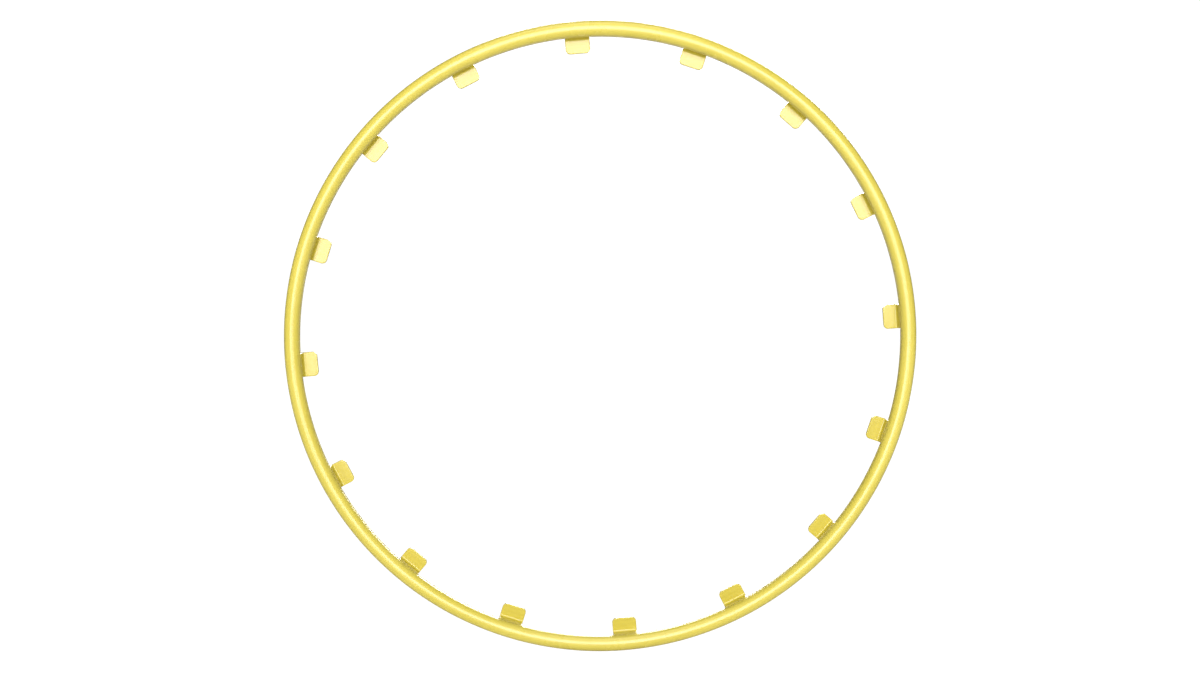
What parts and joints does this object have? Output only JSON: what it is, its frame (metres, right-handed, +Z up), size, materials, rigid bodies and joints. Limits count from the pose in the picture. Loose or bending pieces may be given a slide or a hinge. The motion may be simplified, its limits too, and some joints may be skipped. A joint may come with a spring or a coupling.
{
  "type": "wheel rim protector ring",
  "caption": "Slender moulded hoop with a half-round front and inward hooked snap-in tabs behind it, which clips round the edge of a wheel's rim.",
  "frame": {"origin": "centre of the hoop, in the plane of its flat back", "axes": "the ring stands upright as on a wheel: +Y along its axis from the front towards the wheel, +Z up"},
  "size_m": [0.496, 0.0182, 0.496],
  "materials": {
    "hoop_nylon": "satin moulded nylon, golden yellow",
    "tab_nylon": "satin moulded nylon, golden yellow"
  },
  "bodies": {
    "hoop": {"hoop": "hoop_nylon"},
    "tab_01": {"tab_01": "tab_nylon"},
    "tab_02": {"tab_02": "tab_nylon"},
    "tab_03": {"tab_03": "tab_nylon"},
    "tab_04": {"tab_04": "tab_nylon"},
    "tab_05": {"tab_05": "tab_nylon"},
    "tab_06": {"tab_06": "tab_nylon"},
    "tab_07": {"tab_07": "tab_nylon"},
    "tab_08": {"tab_08": "tab_nylon"},
    "tab_09": {"tab_09": "tab_nylon"},
    "tab_10": {"tab_10": "tab_nylon"},
    "tab_11": {"tab_11": "tab_nylon"},
    "tab_12": {"tab_12": "tab_nylon"},
    "tab_13": {"tab_13": "tab_nylon"},
    "tab_14": {"tab_14": "tab_nylon"},
    "tab_15": {"tab_15": "tab_nylon"},
    "tab_16": {"tab_16": "tab_nylon"}
  },
  "joints": [
    {"name": "tab_01_flex", "type": "hinge", "parent": "hoop", "child": "tab_01", "pos_m": [0.23823, -0.0032, 0.01917], "axis": [0.0802, 0, -0.9968], "range_deg": [-3, 12], "stiffness_Nm_per_rad": 3},
    {"name": "tab_02_flex", "type": "hinge", "parent": "hoop", "child": "tab_02", "pos_m": [0.21276, -0.0032, 0.10887], "axis": [0.4555, 0, -0.8902], "range_deg": [-3, 12], "stiffness_Nm_per_rad": 3},
    {"name": "tab_03_flex", "type": "hinge", "parent": "hoop", "child": "tab_03", "pos_m": [0.1549, -0.0032, 0.18201], "axis": [0.7615, 0, -0.6481], "range_deg": [-3, 12], "stiffness_Nm_per_rad": 3},
    {"name": "tab_04_flex", "type": "hinge", "parent": "hoop", "child": "tab_04", "pos_m": [0.07346, -0.0032, 0.22743], "axis": [0.9516, 0, -0.3074], "range_deg": [-3, 12], "stiffness_Nm_per_rad": 3},
    {"name": "tab_05_flex", "type": "hinge", "parent": "hoop", "child": "tab_05", "pos_m": [-0.01917, -0.0032, 0.23823], "axis": [0.9968, 0, 0.0802], "range_deg": [-3, 12], "stiffness_Nm_per_rad": 3},
    {"name": "tab_06_flex", "type": "hinge", "parent": "hoop", "child": "tab_06", "pos_m": [-0.10887, -0.0032, 0.21276], "axis": [0.8902, 0, 0.4555], "range_deg": [-3, 12], "stiffness_Nm_per_rad": 3},
    {"name": "tab_07_flex", "type": "hinge", "parent": "hoop", "child": "tab_07", "pos_m": [-0.18201, -0.0032, 0.1549], "axis": [0.6481, 0, 0.7615], "range_deg": [-3, 12], "stiffness_Nm_per_rad": 3},
    {"name": "tab_08_flex", "type": "hinge", "parent": "hoop", "child": "tab_08", "pos_m": [-0.22743, -0.0032, 0.07346], "axis": [0.3074, 0, 0.9516], "range_deg": [-3, 12], "stiffness_Nm_per_rad": 3},
    {"name": "tab_09_flex", "type": "hinge", "parent": "hoop", "child": "tab_09", "pos_m": [-0.23823, -0.0032, -0.01917], "axis": [-0.0802, 0, 0.9968], "range_deg": [-3, 12], "stiffness_Nm_per_rad": 3},
    {"name": "tab_10_flex", "type": "hinge", "parent": "hoop", "child": "tab_10", "pos_m": [-0.21276, -0.0032, -0.10887], "axis": [-0.4555, 0, 0.8902], "range_deg": [-3, 12], "stiffness_Nm_per_rad": 3},
    {"name": "tab_11_flex", "type": "hinge", "parent": "hoop", "child": "tab_11", "pos_m": [-0.1549, -0.0032, -0.18201], "axis": [-0.7615, 0, 0.6481], "range_deg": [-3, 12], "stiffness_Nm_per_rad": 3},
    {"name": "tab_12_flex", "type": "hinge", "parent": "hoop", "child": "tab_12", "pos_m": [-0.07346, -0.0032, -0.22743], "axis": [-0.9516, 0, 0.3074], "range_deg": [-3, 12], "stiffness_Nm_per_rad": 3},
    {"name": "tab_13_flex", "type": "hinge", "parent": "hoop", "child": "tab_13", "pos_m": [0.01917, -0.0032, -0.23823], "axis": [-0.9968, 0, -0.0802], "range_deg": [-3, 12], "stiffness_Nm_per_rad": 3},
    {"name": "tab_14_flex", "type": "hinge", "parent": "hoop", "child": "tab_14", "pos_m": [0.10887, -0.0032, -0.21276], "axis": [-0.8902, 0, -0.4555], "range_deg": [-3, 12], "stiffness_Nm_per_rad": 3},
    {"name": "tab_15_flex", "type": "hinge", "parent": "hoop", "child": "tab_15", "pos_m": [0.18201, -0.0032, -0.1549], "axis": [-0.6481, 0, -0.7615], "range_deg": [-3, 12], "stiffness_Nm_per_rad": 3},
    {"name": "tab_16_flex", "type": "hinge", "parent": "hoop", "child": "tab_16", "pos_m": [0.22743, -0.0032, -0.07346], "axis": [-0.3074, 0, -0.9516], "range_deg": [-3, 12], "stiffness_Nm_per_rad": 3}
  ]
}
